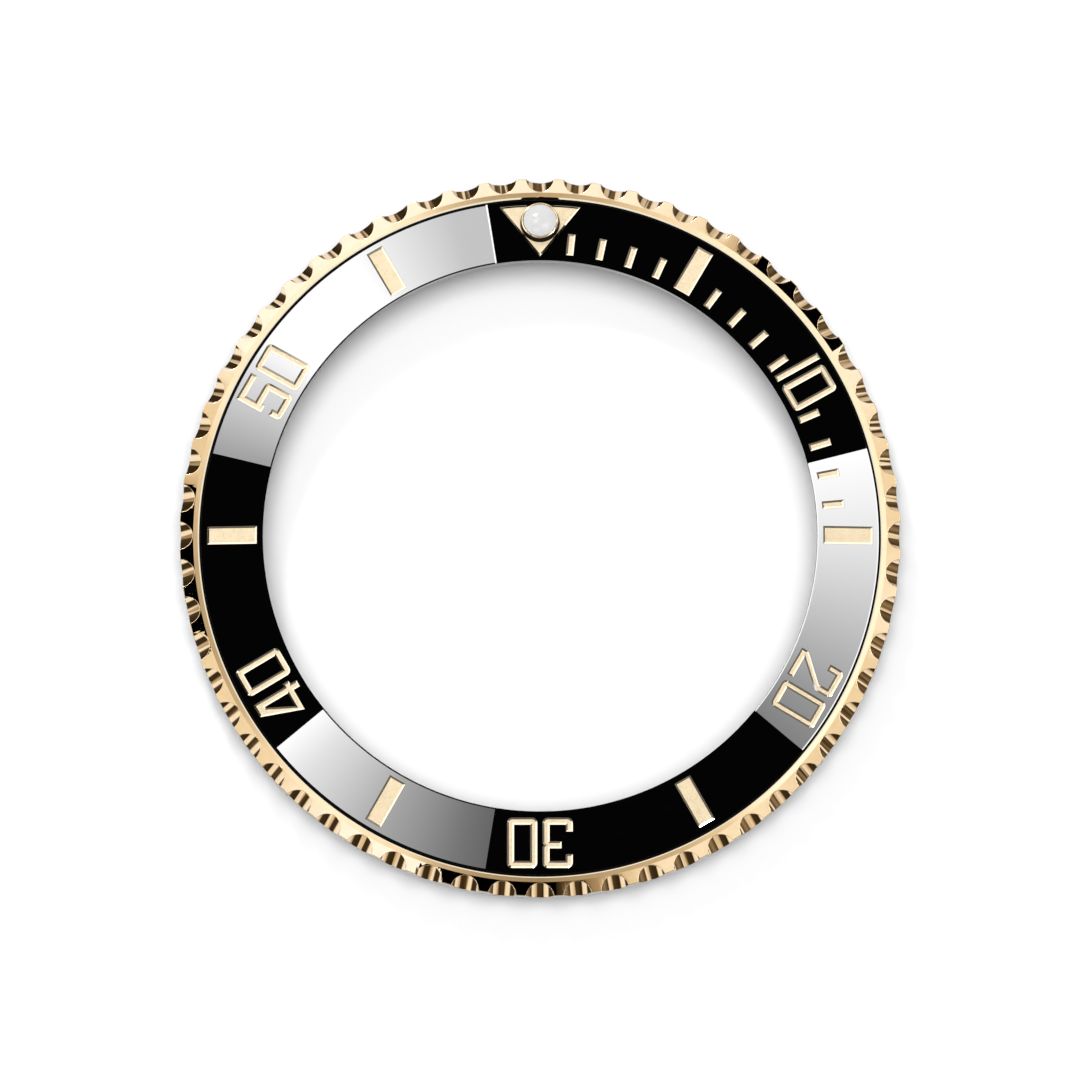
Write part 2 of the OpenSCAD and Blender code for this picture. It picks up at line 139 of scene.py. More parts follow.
class InsertSettings(bpy.types.PropertyGroup):
    radius: length("Radius", "Outer radius of the insert", 18.86)
    width: length("Width", "Width of the insert from its outer edge to its opening", 3.51)
    edge_height: length("Edge height", "Height of the insert's top at its outer edge", 3.32)
    thickness: length("Thickness", "Thickness of the insert", 0.95)
    slope: angle("Slope", "Slope of the insert down to its outer edge", 9.0)
    outer_chamfer: length("Outer chamfer", "Chamfer on the outer edge", 0.072)
    inner_chamfer: length("Inner chamfer", "Chamfer on the inner edge", 0.02)
    undercut: length("Undercut", "Outward lean of the inner wall over its height", 0.17)
    polish: length("Polish", "Width of each polished line along the edges", 0.06)
    inner_lean: angle("Inner lean", "Slope of the polished line at the inner edge", 5.0)
    outer_lean: angle("Outer lean", "Slope of the polished line near the outer edge", 13.0)
    engraving: length("Engraving", "Depth of the engraved marks", 0.17)
    ceramic: colour("Ceramic", "Colour of the insert", (0.0012, 0.0012, 0.0014))


class MarkSettings(bpy.types.PropertyGroup):
    sink: length("Sink", "Depth of the gold floor under the insert's top", 0.068)
    collar: length("Collar", "Width in plan of the rounded ceramic edge", 0.015)
    collar_drop: length("Collar drop", "Drop of the rounded ceramic edge", 0.02)
    wall: length("Wall", "Width in plan of the gold-coated walls", 0.09)
    lip: length("Lip", "Depth of the filling's own edge under the insert's top", 0.003)
    triangle_outer: length("Triangle base", "Radius of the triangle's curved base", 18.56)
    triangle_point: length("Triangle point", "Radius of the triangle's point", 15.57)
    triangle_half: length("Triangle half width", "Half of the width of the triangle's base", 2.28)
    fill_depth: length("Filling depth", "Depth of the solid filling's top under the insert's top", 0.11)
    fill: colour("Filling", "Colour of the blasted gold filling", (0.80, 0.66, 0.44))
    side: colour("Walls", "Colour of the bright gold walls", (0.95, 0.82, 0.62))


class PearlSettings(bpy.types.PropertyGroup):
    place: length("Place", "Radius at which the pearl stands on the insert", 17.5)
    foot_radius: length("Foot radius", "Radius of the capsule at the insert", 1.1)
    rim_radius: length("Rim radius", "Radius of the capsule's rim", 1.03)
    rise: length("Rise", "Height of the capsule's rim over the insert", 0.5)
    sink: length("Sink", "Depth of the capsule in the insert", 0.5)
    well_gap: length("Well gap", "Gap round the capsule in its well", 0.03)
    wall: length("Wall", "Wall of the capsule", 0.1)
    floor: length("Floor", "Thickness of the capsule's floor", 0.15)
    dome_rise: length("Dome rise", "Height of the dome over the rim", 0.24)
    dome_sink: length("Dome sink", "Depth of the dome's foot in the capsule", 0.25)
    lume: colour("Lume", "Colour of the luminous filling", (0.90, 0.91, 0.90))
    dome: colour("Dome", "Colour of the milky dome", (0.66, 0.655, 0.65))


class SeatRingSettings(bpy.types.PropertyGroup):
    bore: length("Bore", "Radius of the bore", 15.6)
    collar_radius: length("Collar radius", "Outer radius of the collar", 16.4)
    collar_height: length("Collar height", "Height of the collar", 2.64)
    flange_radius: length("Flange radius", "Outer radius of the flange", 18.5)
    flange_height: length("Flange height", "Thickness of the flange", 1.35)
    bore_taper: length("Bore taper", "Widening of the bore towards the watch case", 0.2)
    bore_taper_height: length("Bore taper height", "Height up to which the bore widens", 1.8)
    lead_in: length("Lead-in", "Chamfer on the outer edges", 0.1)
    pocket_floor: length("Pocket floor", "Height of the floor of the pockets", 0.15)
    pocket_radius: length("Pocket circle", "Radius of the circle that the pockets lie on", 17.87)
    pawl_pocket_width: length("Pawl pocket width", "Width of the pawl's pocket", 0.76)
    pawl_pocket_length: length("Pawl pocket length", "Length of the pawl's pocket", 1.56)
    ball_pocket: length("Ball pocket", "Radius of a ball's pocket", 0.38)
    ball_shift: length("Ball shift", "Distance of a ball from the middle of its tooth gap", 0.1)
    steel: colour("Steel", "Colour of the turned steel", (0.63, 0.615, 0.59))


class StageSettings(bpy.types.PropertyGroup):
    tilt: angle("Camera tilt", "Lean of the view away from straight down", 6.15)
    distance: length("Camera distance", "Distance of the camera", 400.0)
    view_width: length("View width", "Width of the picture at the bezel", 60.23)
    aim_height: length("Aim height", "Height on the axis at which the camera aims", 1.12)
    floor_radius: length("Floor radius", "Radius of the floor", 2000.0)
    floor: colour("Floor", "Colour of the pale floor", (0.93, 0.93, 0.93))
    floor_lift: number("Floor lift", "Strength that the floor adds for the eye", 0.02)
    overhead: number("Overhead", "Strength of the panel round the zenith", 1.0)
    softboxes: number("Softboxes", "Strength of the three softboxes", 7.2)
    key: number("Key", "Strength of the key light at the upper left", 1.5)
    side_light: number("Side light", "Strength of the light near the horizon", 1.0)
    horizon: colour("Horizon", "Colour of the light along the horizon", (0.6, 0.74, 1.0))
    horizon_light: number("Horizon light", "Strength of the light along the horizon", 1.65)
    dome_light: number("Dome light", "Strength of the even light from all round", 0.27)
    top_light: number("Top light", "Strength of the soft light from above", 10.2)
    wall_light: number("Wall light", "Strength of the light that the walls of the marks mirror", 1.6)
    lamp: number("Lamp", "Strength of the small lamp's face", 60.0)
    lamp_glint: number("Lamp glint", "Strength of the lamp as polished surfaces mirror it", 32.0)
    lamp_radius: length("Lamp radius", "Radius of the small lamp", 15.0)
    lamp_distance: length("Lamp distance", "Distance of the small lamp", 300.0)
    lamp_turn: angle("Lamp turn", "Turn of the small lamp round the clock, back from 12", 24.0)
    lamp_reach: number("Lamp reach", "Reach of the lamp's direction from the light's axis", 0.59)


SETTINGS = {
    "bezel_ring": BezelRingSettings,
    "bezel_wire": WireSettings,
    "bezel_insert": InsertSettings,
    "bezel_marks": MarkSettings,
    "bezel_pearl": PearlSettings,
    "bezel_seat": SeatRingSettings,
    "bezel_stage": StageSettings,
}


def on_bench(name):
    """The numbers of a settings group, with lengths at bench size."""
    group = getattr(bpy.context.scene, name)
    values = {}
    for key, prop in group.bl_rna.properties.items():
        if prop.type in {"FLOAT", "INT"}:
            value = getattr(group, key)
            values[key] = value * BENCH if prop.unit == "LENGTH" else value
    return SimpleNamespace(**values)


# Selection


def take_nothing():
    """Leaves edit mode and clears the selection."""
    if bpy.context.object and bpy.context.object.mode != "OBJECT":
        bpy.ops.object.mode_set(mode="OBJECT")
    bpy.ops.object.select_all(action="DESELECT")


def take(obj):
    """Selects only this object and makes it active."""
    take_nothing()
    obj.select_set(True)
    bpy.context.view_layer.objects.active = obj


def edit(obj):
    take(obj)
    bpy.ops.object.mode_set(mode="EDIT")


def leave():
    bpy.ops.object.mode_set(mode="OBJECT")


def choose(obj, kind, passes):
    """In edit mode, selects the verts, edges or faces that pass a test."""
    bpy.ops.mesh.select_mode(type=kind)
    bpy.ops.mesh.select_all(action="DESELECT")
    work = bmesh.from_edit_mesh(obj.data)
    for item in {"VERT": work.verts, "EDGE": work.edges, "FACE": work.faces}[kind]:
        if passes(item):
            item.select_set(True)
    work.select_flush_mode()
    bmesh.update_edit_mesh(obj.data)


def near(point, tolerance=0.01):
    """A test for vertices that lie at a point given as radius and height."""
    place = Vector((point[0], 0, point[1]))
    return lambda v: (v.co - place).length < tolerance


# Modelling


def arc(centre, radius, start, end, steps):
    """Points of an arc between two angles, in degrees, in a drawing of radius and height."""
    turns = [math.radians(start + (end - start) * i / steps) for i in range(steps + 1)]
    return [(centre[0] + radius * math.cos(t), centre[1] + radius * math.sin(t)) for t in turns]


def draw(name, points):
    """A closed outline, drawn corner by corner from (radius, height) or (x, y, z) points."""
    spots = [point if len(point) == 3 else (point[0], 0.0, point[1]) for point in points]
    take_nothing()
    bpy.ops.mesh.primitive_plane_add(size=2.0)
    obj = bpy.context.object
    obj.name = name
    edit(obj)
    choose(obj, "VERT", lambda v: v.co.x > 0 or v.co.y > 0)
    bpy.ops.mesh.delete(type="VERT")
    bpy.ops.mesh.select_all(action="SELECT")
    bpy.ops.transform.translate(value=(spots[0][0] + 1, spots[0][1] + 1, spots[0][2]))
    for here, there in zip(spots, spots[1:] + spots[:1]):
        step = tuple(end - start for start, end in zip(here, there))
        bpy.ops.mesh.extrude_region_move(TRANSFORM_OT_translate={"value": step})
    bpy.ops.mesh.select_all(action="SELECT")
    bpy.ops.mesh.remove_doubles(threshold=MERGE)
    bpy.ops.mesh.edge_face_add()
    return obj


def round_corners(obj, corners, size, segments=3):
    """Rounds the named corners of an outline that is in edit mode."""
    for corner in corners:
        choose(obj, "VERT", near(corner))
        bpy.ops.mesh.bevel(offset=size, segments=segments, affect="VERTICES")


def spin(turn, steps):
    """Turns the outline in edit mode about the Z axis, and closes its ends if the turn is a part one."""
    bpy.ops.mesh.select_all(action="SELECT")
    bpy.ops.mesh.delete(type="ONLY_FACE")
    bpy.ops.mesh.select_all(action="SELECT")
    bpy.ops.mesh.spin(steps=steps, angle=turn, center=(0, 0, 0), axis=(0, 0, 1))
    bpy.ops.mesh.select_all(action="SELECT")
    bpy.ops.mesh.remove_doubles(threshold=MERGE)
    if turn < 2 * math.pi:
        bpy.ops.mesh.fill_holes(sides=0)
        bpy.ops.mesh.select_all(action="SELECT")
    bpy.ops.mesh.normals_make_consistent(inside=False)
    leave()


def modify(obj, kind, **values):
    """Adds a modifier with these values and applies it."""
    take(obj)
    modifier = obj.modifiers.new(kind.lower(), kind)
    for key, value in values.items():
        setattr(modifier, key, value)
    bpy.ops.object.modifier_apply(modifier=modifier.name)


def cut(obj, tool):
    """Takes the tool's shape out of a piece, and then the tool away."""
    modify(obj, "BOOLEAN", operation="DIFFERENCE", object=tool, solver="EXACT")
    bpy.data.objects.remove(tool)


def copy_of_node(node, name):
    """A merged copy of a CAD node at bench size, with flat faces made whole."""
    obj = bpy.data.objects.new(name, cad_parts[node].data.copy())
    bpy.context.scene.collection.objects.link(obj)
    obj.data.materials.clear()
    take(obj)
    bpy.ops.mesh.customdata_custom_splitnormals_clear()
    edit(obj)
    bpy.ops.mesh.select_all(action="SELECT")
    bpy.ops.transform.resize(value=(BENCH, BENCH, BENCH), center_override=(0, 0, 0))
    bpy.ops.mesh.remove_doubles(threshold=MERGE)
    bpy.ops.mesh.dissolve_limited(angle_limit=math.radians(0.6))
    leave()
    return obj


def shade(obj, degrees=30.0):
    take(obj)
    bpy.ops.object.shade_smooth_by_angle(angle=math.radians(degrees))
    modify(obj, "WEIGHTED_NORMAL", keep_sharp=True, weight=50)


def finish(obj, name, body, nodes):
    """Brings a bench-size piece to life size and hands it to its body."""
    take(obj)
    obj.data.transform(Matrix.Scale(1 / BENCH, 4))
    obj.name = name
    obj.data.name = name
    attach(obj, body)
    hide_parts(*nodes)


def paint(obj, *materials):
    obj.data.materials.clear()
    for material in materials:
        obj.data.materials.append(material)


# Materials


class Recipe:
    """A material or world under construction, with short ways to add nodes to it."""

    def __init__(self, owner):
        owner.use_nodes = True
        self.tree = owner.node_tree
        self.tree.nodes.clear()

    def add(self, kind, **settings):
        node = self.tree.nodes.new(kind)
        for key, value in settings.items():
            if key in node.inputs:
                self.give(node.inputs[key], value)
            else:
                setattr(node, key, value)
        return node

    def give(self, socket, value):
        if isinstance(value, bpy.types.NodeSocket):
            self.tree.links.new(value, socket)
        else:
            socket.default_value = value

    def math(self, operation, first, second=0.0, third=0.0):
        node = self.tree.nodes.new("ShaderNodeMath")
        node.operation = operation
        for socket, value in zip(node.inputs, (first, second, third)):
            self.give(socket, value)
        return node.outputs[0]

    def between(self, value, low, high, start=0.0, end=1.0):
        """Maps a value from one range to another, eased at both ends."""
        node = self.tree.nodes.new("ShaderNodeMapRange")
        node.interpolation_type = "SMOOTHSTEP"
        for socket, given in zip(node.inputs, (value, low, high, start, end)):
            self.give(socket, given)
        return node.outputs[0]

    def blend(self, share, first, second):
        node = self.tree.nodes.new("ShaderNodeMix")
        node.data_type = "RGBA"
        self.give(node.inputs["Factor"], share)
        self.give(node.inputs["A"], first)
        self.give(node.inputs["B"], second)
        return node.outputs["Result"]

    def ramp(self, place, stops):
        """A colour that runs through the stops, each a place from 0 to 1 and a colour."""
        node = self.tree.nodes.new("ShaderNodeValToRGB")
        node.color_ramp.interpolation = "LINEAR"
        elements = node.color_ramp.elements
        while len(elements) < len(stops):
            elements.new(0.5)
        for element, (spot, shade) in zip(elements, stops):
            element.position = spot
            element.color = opaque(shade)
        self.give(node.inputs["Fac"], place)
        return node.outputs["Color"]

    def vector(self, operation, *values):
        node = self.tree.nodes.new("ShaderNodeVectorMath")
        node.operation = operation
        for socket, value in zip(node.inputs, values):
            self.give(socket, value)
        return node.outputs["Value" if operation == "DOT_PRODUCT" else "Vector"]

    def scaled(self, shade, strength):
        """A colour times a number."""
        node = self.tree.nodes.new("ShaderNodeVectorMath")
        node.operation = "SCALE"
        self.give(node.inputs[0], shade)
        self.give(node.inputs["Scale"], strength)
        return node.outputs[0]


def opaque(value):
    return (value[0], value[1], value[2], 1.0)


def new_material(name):
    material = bpy.data.materials.new(name)
    return material, Recipe(material)


def surface(recipe, **values):
    shader = recipe.add("ShaderNodeBsdfPrincipled", **values)
    recipe.add("ShaderNodeOutputMaterial", Surface=shader.outputs[0])
    return shader


def speckle(recipe, size, detail=3.0, stretch=None):
    """Noise with grains of about this size in metres."""
    place = recipe.add("ShaderNodeTexCoord").outputs["Object"]
    if stretch:
        place = recipe.add("ShaderNodeMapping", Vector=place, Scale=stretch).outputs[0]
    noise = recipe.add(
        "ShaderNodeTexNoise", Vector=place, Scale=1.0 / size, Detail=detail, Roughness=0.6
    )
    return noise.outputs["Fac"]


def lathe_marks(recipe, pitch):
    """Faint turning marks: rings about the Z axis with this pitch in metres."""
    place = recipe.add("ShaderNodeTexCoord").outputs["Object"]
    parts = recipe.add("ShaderNodeSeparateXYZ", Vector=place).outputs
    radius = recipe.math("SQRT", recipe.math(
        "ADD", recipe.math("MULTIPLY", parts[0], parts[0]), recipe.math("MULTIPLY", parts[1], parts[1])
    ))
    along = recipe.add("ShaderNodeCombineXYZ", X=radius, Y=parts[2]).outputs[0]
    noise = recipe.add("ShaderNodeTexNoise", Vector=along, Scale=1.0 / pitch, Detail=2.0)
    return noise.outputs["Fac"]


def bump(recipe, height, depth):
    """A bump of this depth in metres."""
    return recipe.add("ShaderNodeBump", Strength=1.0, Distance=depth, Height=height).outputs[0]


def polished_gold(name, tint, rough=(0.004, 0.009)):
    """Mirror-polished gold with faint turning marks and hairline wear."""
    material, recipe = new_material(name)
    marks = lathe_marks(recipe, 0.00006)
    wear = speckle(recipe, 0.0006, detail=4.0)
    level = recipe.between(wear, 0.35, 0.7, rough[0], rough[1])
    deeper = tuple(channel * 0.94 for channel in tint)
    hue = recipe.blend(recipe.between(wear, 0.3, 0.75), opaque(tint), opaque(deeper))
    surface(
        recipe,
        **{"Base Color": hue, "Metallic": 1.0, "Roughness": level},
        Normal=bump(recipe, marks, 0.00000003),
    )
    return material


def blasted_gold(name, tint):
    """Fine sand-blasted gold, as on the floors of the marks."""
    material, recipe = new_material(name)
    grain = speckle(recipe, 0.00009, detail=3.0)
    cloud = speckle(recipe, 0.0004, detail=3.0)
    deeper = tuple(channel * 0.8 for channel in tint)
    share = recipe.math(
        "MULTIPLY", recipe.between(grain, 0.35, 0.7), recipe.between(cloud, 0.2, 0.8, 0.5, 1.0)
    )
    hue = recipe.blend(share, opaque(tint), opaque(deeper))
    surface(
        recipe,
        **{"Base Color": hue, "Metallic": 0.2, "Roughness": recipe.between(cloud, 0.3, 0.7, 0.65, 0.8)},
        Normal=bump(recipe, grain, 0.000004),
    )
    return material


def black_ceramic(name, tint):
    """Polished zirconia: black, dense and very smooth."""
    material, recipe = new_material(name)
    haze = speckle(recipe, 0.0008, detail=3.0)
    level = recipe.between(haze, 0.4, 0.7, 0.003, 0.008)
    surface(recipe, **{"Base Color": opaque(tint), "IOR": 2.2, "Roughness": level})
    return material


def ground_ceramic(name, tint):
    """Ground, unpolished zirconia, as on the insert's edges."""
    material, recipe = new_material(name)
    grain = speckle(recipe, 0.00005)
    hue = recipe.blend(grain, opaque(tint), opaque(tuple(channel * 2.0 for channel in tint)))
    surface(
        recipe,
        **{"Base Color": hue, "Roughness": recipe.between(grain, 0.3, 0.7, 0.5, 0.65)},
        IOR=1.12,
        Normal=bump(recipe, grain, 0.000002),
    )
    return material


def luminous_paste(name, tint):
    material, recipe = new_material(name)
    grain = speckle(recipe, 0.00008)
    hue = recipe.blend(grain, opaque(tint), opaque(tuple(channel * 0.93 for channel in tint)))
    surface(
        recipe,
        **{"Base Color": hue, "Roughness": 0.7},
        Normal=bump(recipe, grain, 0.00001),
    )
    return material


def milky_dome(name, tint):
    """Milky glass over the luminous filling."""
    material, recipe = new_material(name)
    cloud = speckle(recipe, 0.0007, detail=2.0)
    hue = recipe.blend(cloud, opaque(tint), opaque(tuple(channel * 0.97 for channel in tint)))
    surface(
        recipe,
        **{"Base Color": hue, "Roughness": recipe.between(cloud, 0.3, 0.7, 0.04, 0.06), "IOR": 1.38},
    )
    return material


def turned_steel(name, tint, pitch=0.00012, rough=(0.24, 0.32)):
    """Bare steel with the fine rings that a lathe tool leaves."""
    material, recipe = new_material(name)
    marks = lathe_marks(recipe, pitch)
    cloud = speckle(recipe, 0.0009, detail=4.0)
    hue = recipe.blend(cloud, opaque(tint), opaque(tuple(channel * 0.86 for channel in tint)))
    surface(
        recipe,
        **{"Base Color": hue, "Metallic": 1.0, "Roughness": recipe.between(marks, 0.3, 0.7, *rough)},
        Normal=bump(recipe, marks, 0.000003),
    )
    return material


def drawn_steel(name, tint):
    """Tempered spring steel with lengthwise drawing lines."""
    material, recipe = new_material(name)
    lines = speckle(recipe, 0.00006, detail=2.0, stretch=(1.0, 1.0, 0.2))
    hue = recipe.blend(lines, opaque(tint), opaque(tuple(channel * 0.8 for channel in tint)))
    surface(
        recipe,
        **{"Base Color": hue, "Metallic": 1.0, "Roughness": recipe.between(lines, 0.3, 0.7, 0.22, 0.36)},
        Normal=bump(recipe, lines, 0.000001),
    )
    return material


def matt_rubber(name, tint, grain_size=0.00006):
    material, recipe = new_material(name)
    grain = speckle(recipe, grain_size)
    hue = recipe.blend(grain, opaque(tint), opaque(tuple(channel * 1.5 for channel in tint)))
    surface(
        recipe,
        **{"Base Color": hue, "Roughness": recipe.between(grain, 0.3, 0.7, 0.55, 0.75)},
        Normal=bump(recipe, grain, 0.000004),
    )
    return material


# Pieces


def ring_profile(ring, wire):
    """Corners of the bezel ring's section, from the foot of the bevel outwards and down."""
    rim_outer = ring.rim_height - ring.rim_fall
    under = ring.rim_height - ring.land_height - ring.under_height
    foot = under - ring.skirt_height
    skirt = ring.radius - ring.under_width
    recess = ring.radius - ring.rim_width - ring.bevel_width
    reach = math.degrees(math.acos((ring.shelf_radius - wire.radius) / wire.groove))
    corners = {
        "bevel_foot": (recess, ring.rim_height - ring.bevel_drop),
        "bevel_toe": (recess + ring.bevel_toe, ring.rim_height - ring.bevel_drop + ring.bevel_toe_drop),
        "bevel_top": (ring.radius - ring.rim_width, ring.rim_height),
        "rim_edge": (ring.radius - ring.rim_chamfer, rim_outer),
        "land_top": (ring.radius, rim_outer - ring.rim_chamfer),
        "land_foot": (ring.radius, ring.rim_height - ring.land_height),
        "under_foot": (skirt, under),
        "skirt_outer": (skirt, foot),
        "skirt_inner": (skirt - ring.skirt_wall, foot),
        "shelf_outer": (skirt - ring.skirt_wall, ring.shelf_height),
        "shelf_inner": (ring.shelf_radius, ring.shelf_height),
    }
    groove = arc((wire.radius, wire.height), wire.groove, -reach, reach, 8)
    tail = groove + [(ring.shelf_radius, ring.shelf_inner_top), (recess, ring.shelf_outer_top)]
    return corners, list(corners.values()) + tail


def flute_cutter(ring, middle):
    """A leaning round cutter that stands at this azimuth."""
    out = ring.radius - ring.flute_depth + ring.flute_radius / math.cos(ring.flute_lean)
    long = ring.land_height + ring.under_height
    take_nothing()
    bpy.ops.mesh.primitive_cylinder_add(vertices=TOOL_STEPS, radius=ring.flute_radius, depth=2 * long)
    cutter = bpy.context.object
    lean = Matrix.Rotation(-ring.flute_lean, 4, "Y")
    place = Matrix.Translation((out, 0, ring.rim_height))
    cutter.data.transform(Matrix.Rotation(middle, 4, "Z") @ place @ lean)
    return cutter


def flute_axis(ring, middle):
    """A point on the axis of the flute cutter, and the axis's direction."""
    out = ring.radius - ring.flute_depth + ring.flute_radius / math.cos(ring.flute_lean)
    turn = Matrix.Rotation(middle, 3, "Z")
    point = turn @ Vector((out, 0, ring.rim_height))
    along = turn @ Vector((-math.sin(ring.flute_lean), 0, math.cos(ring.flute_lean)))
    return point, along


def make_bezel_ring(gold):
    ring = on_bench("bezel_ring")
    wire = on_bench("bezel_wire")
    pitch = 2 * math.pi / ring.flute_count
    corners, points = ring_profile(ring, wire)
    piece = draw("bezel_ring_share", points)
    polished = ("land_foot", "under_foot", "skirt_outer", "skirt_inner")
    round_corners(piece, [corners[name] for name in polished], ring.edge_round)
    round_corners(piece, [corners["rim_edge"], corners["land_top"]], ring.rim_round)
    spin(pitch, FLUTE_STEPS)
    middle = math.copysign(pitch / 2, sum(v.co.y for v in piece.data.vertices))
    cut(piece, flute_cutter(ring, middle))

    point, along = flute_axis(ring, middle)

    def on_flute(face):
        offset = face.calc_center_median() - point
        across = offset - along * offset.dot(along)
        near_wall = abs(across.length - ring.flute_radius) < 0.02
        return near_wall and abs(face.normal.dot(across.normalized())) > 0.9

    def in_end_plane(face, azimuth):
        normal = Vector((-math.sin(azimuth), math.cos(azimuth), 0))
        return all(abs(v.co.dot(normal)) < 0.001 for v in face.verts)

    def sharp_flute_edge(edge):
        if len(edge.link_faces) != 2 or edge.calc_face_angle(0.0) < math.radians(16):
            return False
        return sum(on_flute(face) for face in edge.link_faces) == 1

    edit(piece)
    choose(piece, "EDGE", sharp_flute_edge)
    bpy.ops.mesh.bevel(offset=ring.edge_round, segments=3, affect="EDGES", clamp_overlap=False)
    choose(piece, "FACE", lambda f: in_end_plane(f, 0.0) or in_end_plane(f, 2 * middle))
    bpy.ops.mesh.delete(type="FACE")
    leave()

    turner = bpy.data.objects.new("turner", None)
    bpy.context.scene.collection.objects.link(turner)
    turner.rotation_euler.z = pitch
    bpy.context.view_layer.update()
    modify(
        piece,
        "ARRAY",
        count=ring.flute_count,
        use_relative_offset=False,
        use_object_offset=True,
        offset_object=turner,
        use_merge_vertices=True,
        use_merge_vertices_cap=True,
        merge_threshold=MERGE,
    )
    bpy.data.objects.remove(turner)
    piece.data.transform(Matrix.Rotation(-middle, 4, "Z"))
    edit(piece)
    for name in ("bevel_toe", "bevel_top"):
        radius, height = corners[name]
        choose(piece, "EDGE", lambda e: all(
            math.hypot(v.co.xy.length - radius, v.co.z - height) < 0.004 for v in e.verts))
        bpy.ops.mesh.mark_sharp()
    shade(piece, 35)
    paint(piece, gold)
    finish(piece, "bezel_ring_fluted", "bezel", ["bezel_ring"])


def cone_normal(lean, place):
    """The normal of a cone about the Z axis that leans outwards by this angle."""
    out = Vector((place.x, place.y, 0)).normalized()
    return out * math.sin(lean) + Vector((0, 0, math.cos(lean)))


def top_height(insert, radius):
    return insert.edge_height + (insert.radius - radius) * math.tan(insert.slope)


def mark_outline(node, insert):
    """The face that a mark leaves in the insert's top, from its CAD filling's upper side."""
    obj = copy_of_node(node, node + "_outline")
    edit(obj)
    choose(
        obj,
        "FACE",
        lambda f: f.normal.dot(cone_normal(insert.slope, f.calc_center_median())) < 0.9,
    )
    bpy.ops.mesh.delete(type="FACE")
    bpy.ops.mesh.select_all(action="SELECT")
    bpy.ops.mesh.delete_loose()
    bpy.ops.mesh.select_all(action="SELECT")
    turn = math.radians(2 if node.startswith("numeral") else 8)
    bpy.ops.mesh.dissolve_limited(angle_limit=turn)
    leave()
    return obj


def triangle_outline(marks, insert):
    """The whole triangle, as it is before the pearl's well is cut."""
    spread = math.asin(marks.triangle_half / marks.triangle_outer)
    turns = [spread * (1 - 2 * i / 24) for i in range(25)]
    rim = [(marks.triangle_outer * math.sin(t), marks.triangle_outer * math.cos(t),
            top_height(insert, marks.triangle_outer) - marks.fill_depth) for t in turns]
    point = (0.0, marks.triangle_point, top_height(insert, marks.triangle_point) - marks.fill_depth)
    obj = draw("triangle_outline", rim + [point])
    choose(obj, "FACE", lambda f: True)
    if bmesh.from_edit_mesh(obj.data).faces[0].normal.z < 0:
        bpy.ops.mesh.flip_normals()
    leave()
    return obj


def mark_cutter(outline, marks, insert):
    """A prism over a mark's outline that reaches from the engraved floor to above the insert."""
    tool = bpy.data.objects.new("cutter", outline.data.copy())
    bpy.context.scene.collection.objects.link(tool)
    edit(tool)
    bpy.ops.mesh.select_all(action="SELECT")
    bpy.ops.transform.translate(value=(0, 0, marks.fill_depth - insert.engraving))
    bpy.ops.mesh.extrude_region_move(
        TRANSFORM_OT_translate={"value": (0, 0, insert.engraving + insert.thickness)}
    )
    bpy.ops.mesh.select_all(action="SELECT")
    bpy.ops.mesh.normals_make_consistent(inside=False)
    leave()
    return tool


def insert_profile(insert):
    """The insert's section, with a thin polished line inside each edge of its top."""
    opening = insert.radius - insert.width
    polish = insert.polish
    start = opening + insert.inner_chamfer + polish
    edge = top_height(insert, start) + polish * math.tan(insert.inner_lean)
    end = insert.radius - insert.outer_chamfer - polish
    brim = top_height(insert, end) - polish * math.tan(insert.outer_lean)
    return [
        (opening + insert.undercut, top_height(insert, opening) - insert.thickness),
        (opening, edge - insert.inner_chamfer),
        (start - polish, edge),
        (start, top_height(insert, start)),
        (end, top_height(insert, end)),
        (end + polish, brim),
        (insert.radius, insert.edge_height - insert.outer_chamfer),
        (insert.radius, insert.edge_height - insert.thickness),
    ]


def make_insert(ceramic, ground, outlines):
    insert = on_bench("bezel_insert")
    marks = on_bench("bezel_marks")
    pearl = on_bench("bezel_pearl")
    piece = draw("insert", insert_profile(insert))
    spin(2 * math.pi, INSERT_STEPS)
    for outline in outlines:
        cut(piece, mark_cutter(outline, marks, insert))
    cut(piece, pearl_well(insert, pearl, pearl.foot_radius + pearl.well_gap))
    take(piece)
    bpy.ops.object.shade_smooth_by_angle(angle=math.radians(2))
    straighten(piece, (insert.inner_lean, insert.slope, insert.outer_lean))
    paint(piece, ceramic, ground)
    opening = insert.radius - insert.width
    for face in piece.data.polygons:
        radius = face.center.xy.length
        outside = radius > insert.radius - insert.outer_chamfer or radius < opening + insert.inner_chamfer
        face.material_index = 1 if outside or face.normal.z < 0.5 else 0
    finish(piece, "insert_engraved", "bezel", ["insert"])


def straighten(piece, leans):
    """Gives the sloped faces the exact normals of their cones, so that reflections run true."""
    mesh = piece.data
    normals = [Vector(corner.vector) for corner in mesh.corner_normals]
    for face in mesh.polygons:
        out = Vector((face.center.x, face.center.y, 0)).normalized()
        found = math.atan2(face.normal.dot(out), face.normal.z)
        lean = min(leans, key=lambda value: abs(value - found))
        if abs(lean - found) < math.radians(1.2) and face.normal.z > 0.9:
            for loop in face.loop_indices:
                normals[loop] = cone_normal(lean, mesh.vertices[mesh.loops[loop].vertex_index].co)
    mesh.normals_split_custom_set(normals)


def pearl_place(insert, pearl):
    """The move that puts a shape on the insert at the pearl's place, square to the slope."""
    spot = Matrix.Translation((0, pearl.place, top_height(insert, pearl.place)))
    return spot @ Matrix.Rotation(-insert.slope, 4, "X")


def pearl_well(insert, pearl, radius):
    """A cutter for the round well that the pearl stands in."""
    take_nothing()
    bpy.ops.mesh.primitive_cylinder_add(vertices=TOOL_STEPS, radius=radius, depth=2 * pearl.sink)
    well = bpy.context.object
    well.data.transform(pearl_place(insert, pearl))
    return well


